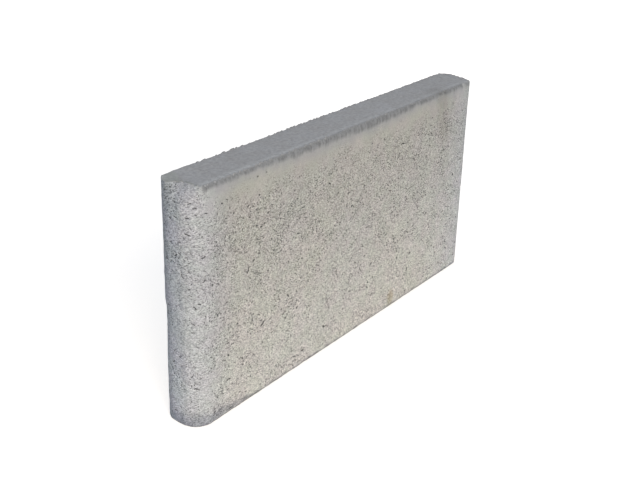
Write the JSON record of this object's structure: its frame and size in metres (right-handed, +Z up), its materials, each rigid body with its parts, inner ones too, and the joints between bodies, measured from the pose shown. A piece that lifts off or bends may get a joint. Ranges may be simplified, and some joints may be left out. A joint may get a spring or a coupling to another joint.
{
  "type": "concrete kerb stone",
  "caption": "Upright concrete edging kerb stone: a long slab with rounded upright ends and lightly bevelled top edges, for bordering paths and lawns.",
  "frame": {"origin": "middle of the bed, the narrow long side that the stone stands on", "axes": "+X along the stone, +Y across its thickness, +Z up from the bed to the pressed top face"},
  "size_m": [0.5, 0.05, 0.25],
  "materials": {
    "concrete": "dry vibropressed concrete, matt, sandy and finely pored"
  },
  "bodies": {
    "root": {"kerb_stone": "concrete"}
  },
  "joints": []
}
